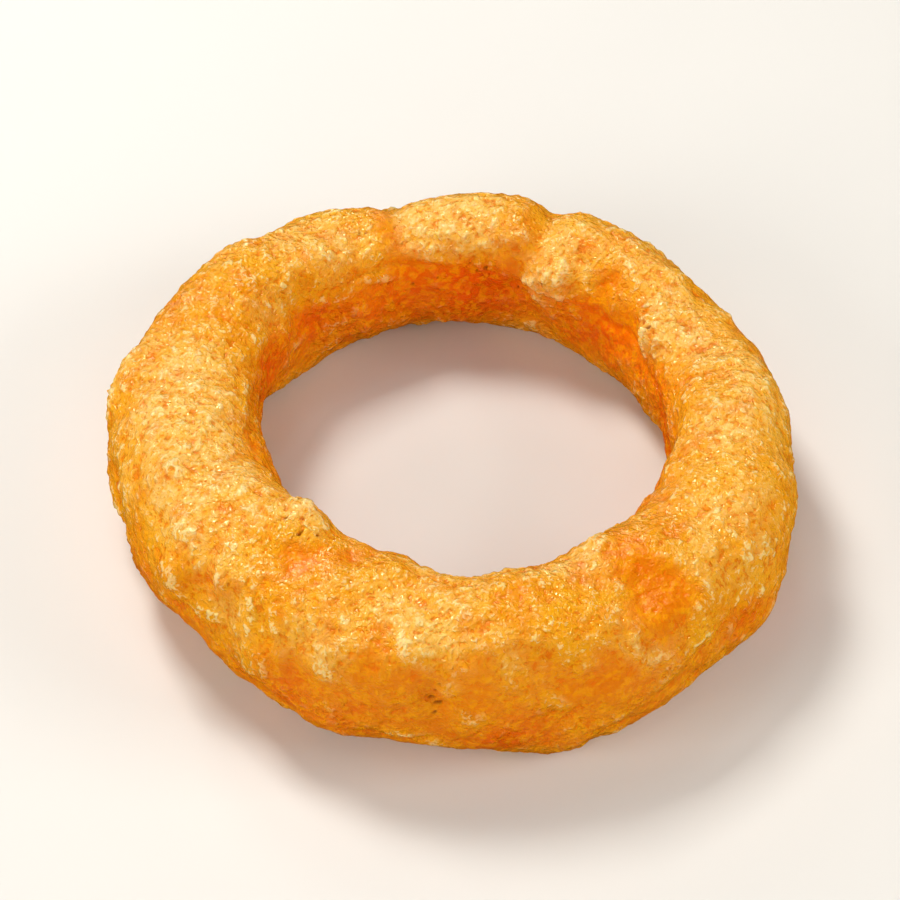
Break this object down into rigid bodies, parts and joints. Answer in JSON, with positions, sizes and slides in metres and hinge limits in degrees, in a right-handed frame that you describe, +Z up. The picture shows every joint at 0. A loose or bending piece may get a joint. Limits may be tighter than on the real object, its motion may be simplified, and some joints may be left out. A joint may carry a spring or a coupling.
{
  "type": "onion ring",
  "caption": "Whole fried onion ring: a thick, lumpy tube of crisp golden batter round an open hole, lying flat.",
  "frame": {"origin": "middle of the ring's footprint, on the surface it rests on", "axes": "+Z up, through the hole; -Y towards the heavier, thicker side of the ring; +X to the right of that"},
  "size_m": [0.0806, 0.0802, 0.0216],
  "materials": {
    "batter": "crisp golden fried batter, finely wrinkled and slightly oily, paler on its crests and amber in its dips"
  },
  "bodies": {
    "root": {"onion_ring": "batter"}
  },
  "joints": []
}
